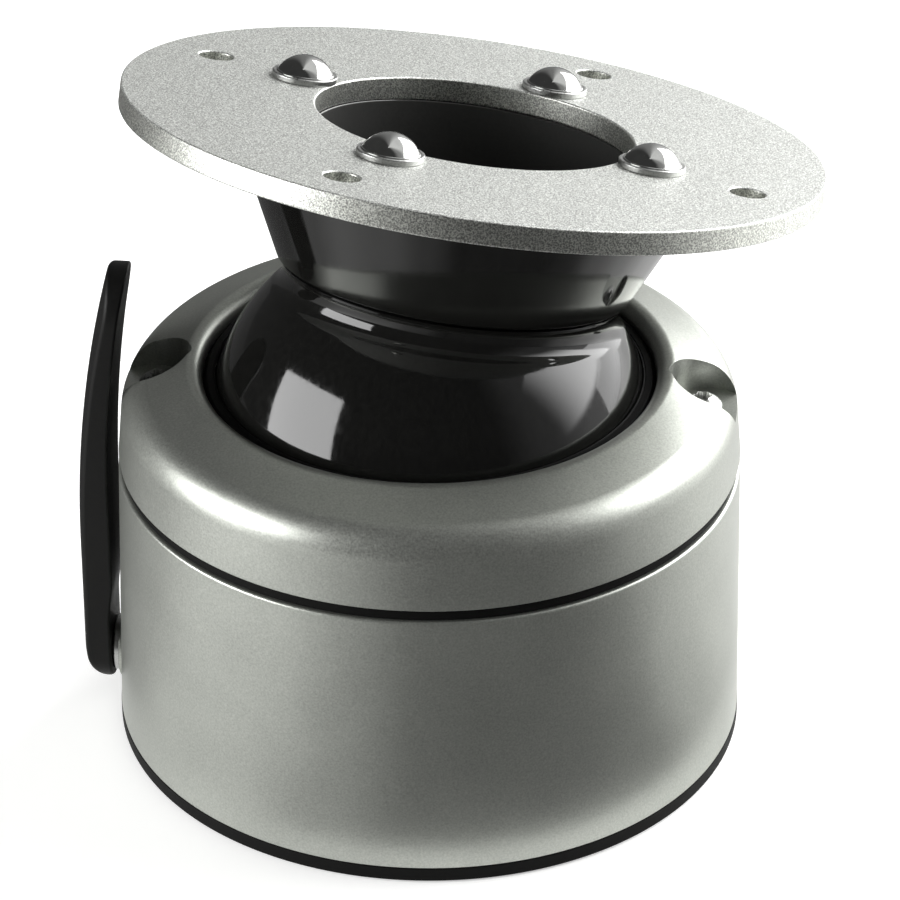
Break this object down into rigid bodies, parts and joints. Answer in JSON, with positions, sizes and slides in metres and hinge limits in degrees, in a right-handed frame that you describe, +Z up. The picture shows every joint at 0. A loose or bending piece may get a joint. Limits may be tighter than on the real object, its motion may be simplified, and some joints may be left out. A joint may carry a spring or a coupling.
{
  "type": "tilt-and-swivel antenna mount",
  "caption": "Drum-shaped ball-joint mount with a round flange plate on a conical neck and a side lever that clamps the ball; tilts and swivels a marine antenna or display.",
  "frame": {"origin": "centre of the drum's underside, on the drum's axis", "axes": "+Z up along the drum's axis, +X through the right-hand cap screw, lever at -X, viewer at -Y"},
  "size_m": [0.1918, 0.1887, 0.1862],
  "materials": {
    "drum_silver": "satin silver paint with fine grain",
    "blasted_plate": "bead blasted, coarse grain",
    "polished_steel": "mirror polished",
    "plain_steel": "plain stainless",
    "gloss_black": "gloss black coating",
    "lever_black": "satin black coating",
    "black_rubber": "matt moulded rubber",
    "cast_aluminium": "as cast and turned",
    "white_acetal": "turned acetal",
    "black_nylon": "moulded nylon",
    "friction_lining": "bonded friction lining"
  },
  "bodies": {
    "drum": {"housing": "drum_silver", "base_ring": "black_rubber", "base_plate": "cast_aluminium", "base_screws": "plain_steel", "base_grommet": "black_rubber", "support_ring": "cast_aluminium", "support_screws": "plain_steel", "preload_spring": "plain_steel", "seam_gasket": "black_rubber", "cap_ring": "drum_silver", "cap_screws": "plain_steel", "wiper_seal": "black_rubber", "upper_bearing": "white_acetal", "clamp_guide": "cast_aluminium", "guide_screws": "plain_steel", "shaft_bush": "plain_steel", "shaft_seal": "black_rubber"},
    "seat": {"lower_bearing": "white_acetal"},
    "sleeve": {"cable_sleeve": "black_nylon"},
    "head": {"ball": "gloss_black", "ball_bowl": "gloss_black", "neck_gasket": "black_rubber", "neck": "gloss_black", "neck_screws": "plain_steel", "flange_plate": "blasted_plate", "flange_bolts": "polished_steel", "flange_washers": "plain_steel"},
    "lever": {"lever": "lever_black", "cam_shaft": "plain_steel", "clamp_cam": "plain_steel", "lever_screw": "plain_steel", "shaft_clip": "plain_steel"},
    "clamp": {"clamp_shoe": "cast_aluminium", "shoe_pad": "friction_lining"}
  },
  "joints": [
    {"name": "swivel", "type": "hinge", "parent": "drum", "child": "seat", "pos_m": [0, 0, 0.0823], "axis": [0, 0, 1], "continuous": true},
    {"name": "tilt", "type": "hinge", "parent": "seat", "child": "sleeve", "pos_m": [0, 0, 0.0823], "axis": [-0.8788, 0.4772, 0], "range_deg": [-34.5, 5.5]},
    {"name": "spin", "type": "hinge", "parent": "sleeve", "child": "head", "pos_m": [0, 0, 0.0823], "axis": [0.1195, 0.22, 0.9681], "continuous": true},
    {"name": "lever_turn", "type": "hinge", "parent": "drum", "child": "lever", "pos_m": [-0.0845, 0, 0.0134], "axis": [1, 0, 0], "range_deg": [0, 90]},
    {"name": "clamp_lift", "type": "slide", "parent": "drum", "child": "clamp", "axis": [0, 0, 1], "range_m": [-0.0015, 0]}
  ],
  "couplings": [
    {"joint": "clamp_lift", "follows": "lever_turn", "m_per_rad": -0.00095}
  ]
}
